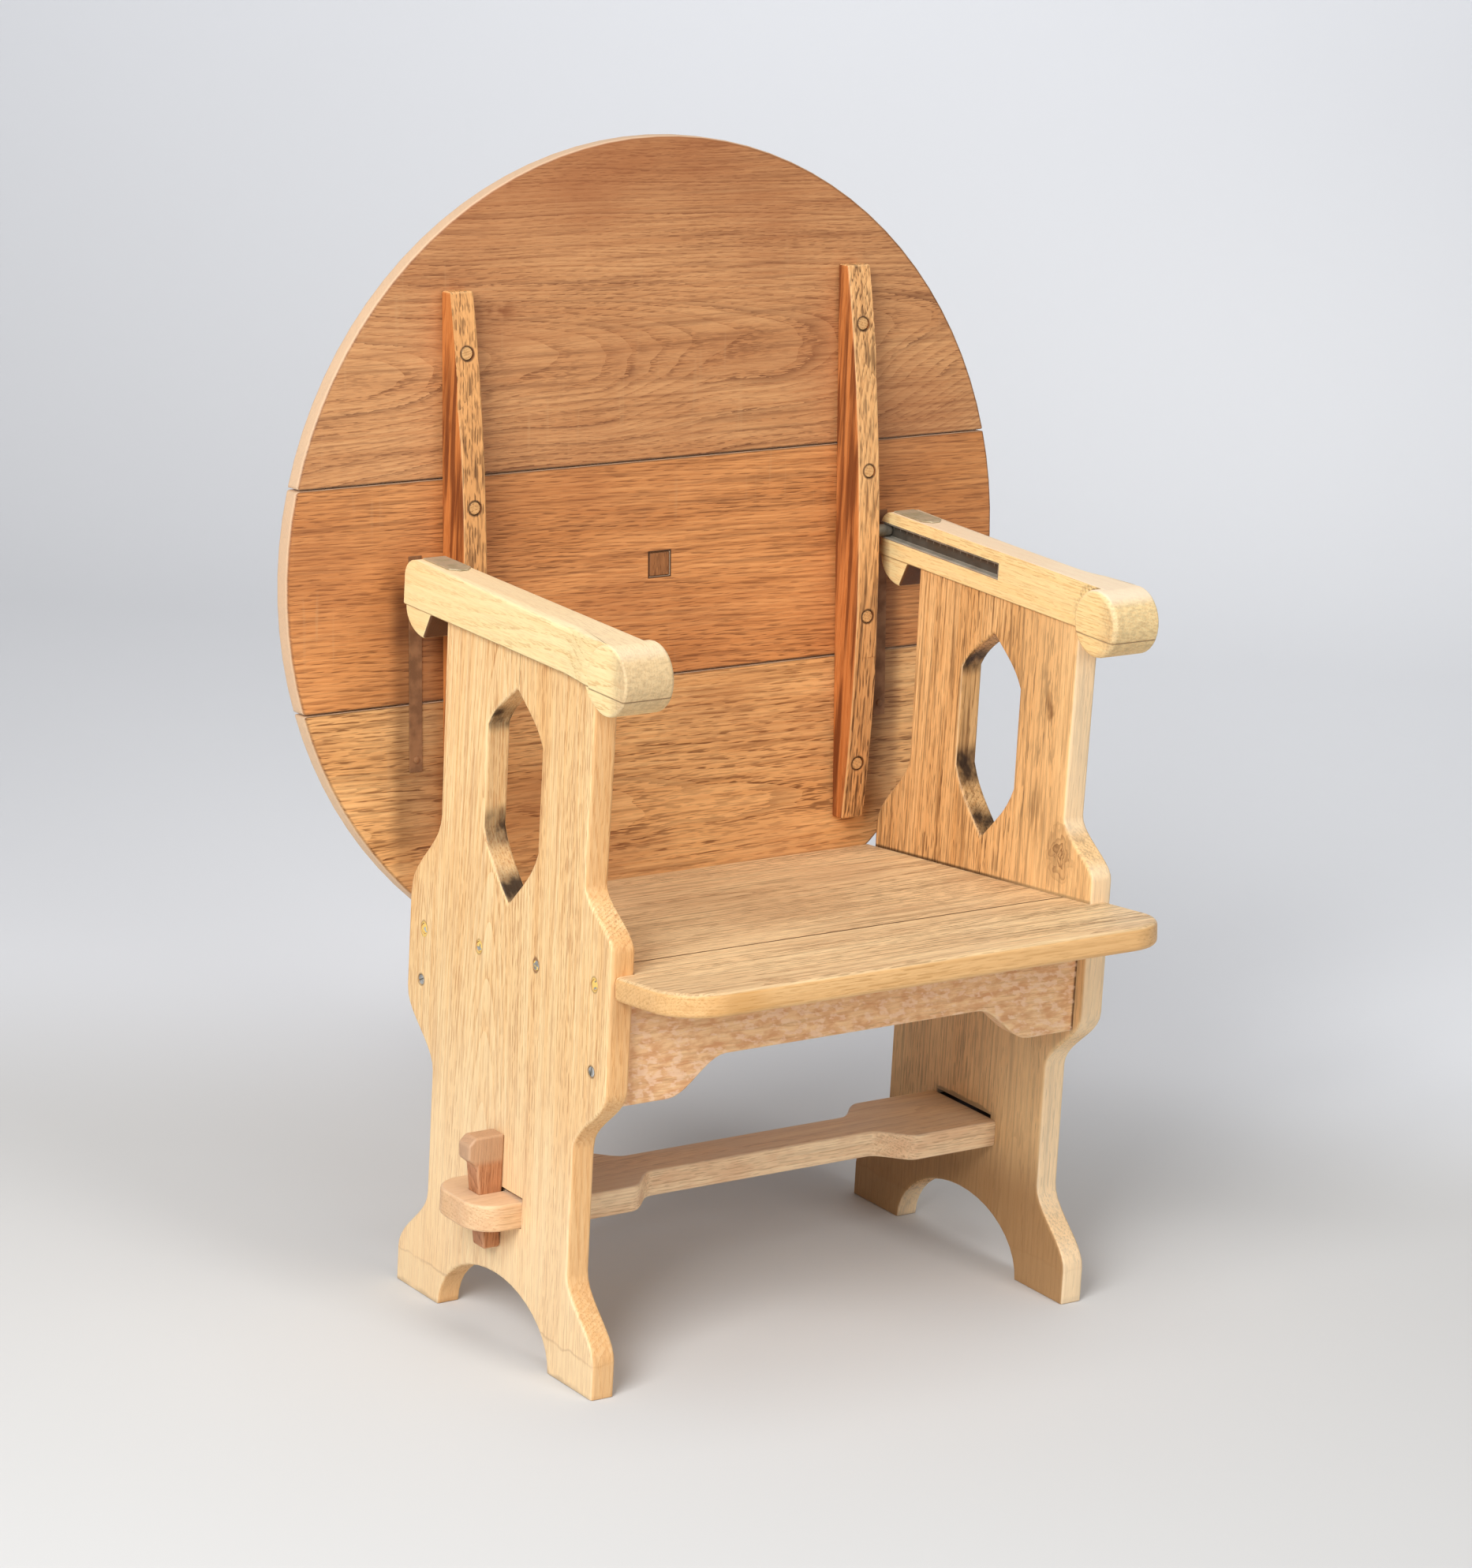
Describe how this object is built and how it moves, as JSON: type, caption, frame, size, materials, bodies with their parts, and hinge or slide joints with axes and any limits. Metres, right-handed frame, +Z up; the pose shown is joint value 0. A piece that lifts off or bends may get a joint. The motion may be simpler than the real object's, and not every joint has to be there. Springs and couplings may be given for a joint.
{
  "type": "monks bench",
  "caption": "Oak monk's bench: a chair with shaped plank sides, scrolled arms and a raked seat, whose round back tips forward and slides over the arms to make a table.",
  "frame": {"origin": "on the floor under the middle of the bench's bounding box", "axes": "+Z up; the sitter faces -Y, so +Y is towards the tilted-up top; +X to the right of someone facing the bench"},
  "size_m": [0.8098, 0.5464, 1.0818],
  "materials": {
    "pale_oak": "stripped and waxed, pale honey",
    "brown_oak": "worn, mid brown",
    "seat_oak": "worn smooth, greyish honey",
    "rosy_oak": "mottled pink-brown",
    "filled_screw": "screw head under yellow filler",
    "steel": "dull, darkened"
  },
  "bodies": {
    "base": {"side_panel_left": "pale_oak", "arm_left": "pale_oak", "arm_front_scroll_left": "pale_oak", "arm_rear_block_left": "pale_oak", "arm_channel_left": "steel", "arm_plate_left": "steel", "wedge_left": "rosy_oak", "arm_dowel_left_1": "pale_oak", "arm_dowel_left_2": "pale_oak", "seat_screw_left_1": "filled_screw", "seat_screw_left_2": "filled_screw", "seat_screw_left_3": "filled_screw", "seat_screw_left_4": "filled_screw", "rail_screw_left_1": "steel", "rail_screw_left_2": "steel", "side_panel_right": "pale_oak", "arm_right": "pale_oak", "arm_front_scroll_right": "pale_oak", "arm_rear_block_right": "pale_oak", "arm_channel_right": "steel", "arm_plate_right": "steel", "wedge_right": "rosy_oak", "arm_dowel_right_1": "pale_oak", "arm_dowel_right_2": "pale_oak", "seat_screw_right_1": "filled_screw", "seat_screw_right_2": "filled_screw", "seat_screw_right_3": "filled_screw", "seat_screw_right_4": "filled_screw", "rail_screw_right_1": "steel", "rail_screw_right_2": "steel", "seat_front_board": "seat_oak", "seat_rear_board": "seat_oak", "front_apron": "rosy_oak", "rear_rail": "rosy_oak", "stretcher": "rosy_oak"},
    "pivot_studs": {"pivot_stud_left": "steel", "pivot_stud_right": "steel"},
    "top": {"top_board_upper": "brown_oak", "top_board_middle": "brown_oak", "top_board_lower": "brown_oak", "centre_plug": "rosy_oak", "batten_left": "pale_oak", "wear_strip_left": "steel", "batten_dowel_left_1": "brown_oak", "batten_dowel_left_2": "brown_oak", "batten_dowel_left_3": "brown_oak", "batten_dowel_left_4": "brown_oak", "batten_right": "pale_oak", "wear_strip_right": "steel", "batten_dowel_right_1": "brown_oak", "batten_dowel_right_2": "brown_oak", "batten_dowel_right_3": "brown_oak", "batten_dowel_right_4": "brown_oak"}
  },
  "joints": [
    {"name": "top_tip", "type": "hinge", "parent": "base", "child": "pivot_studs", "pos_m": [0, 0.19904, 0.6893], "axis": [1, 0, 0], "range_deg": [0, 94.5]},
    {"name": "top_slide", "type": "slide", "parent": "pivot_studs", "child": "top", "axis": [0, 0.0785, 0.9969], "range_m": [0, 0.18]}
  ]
}
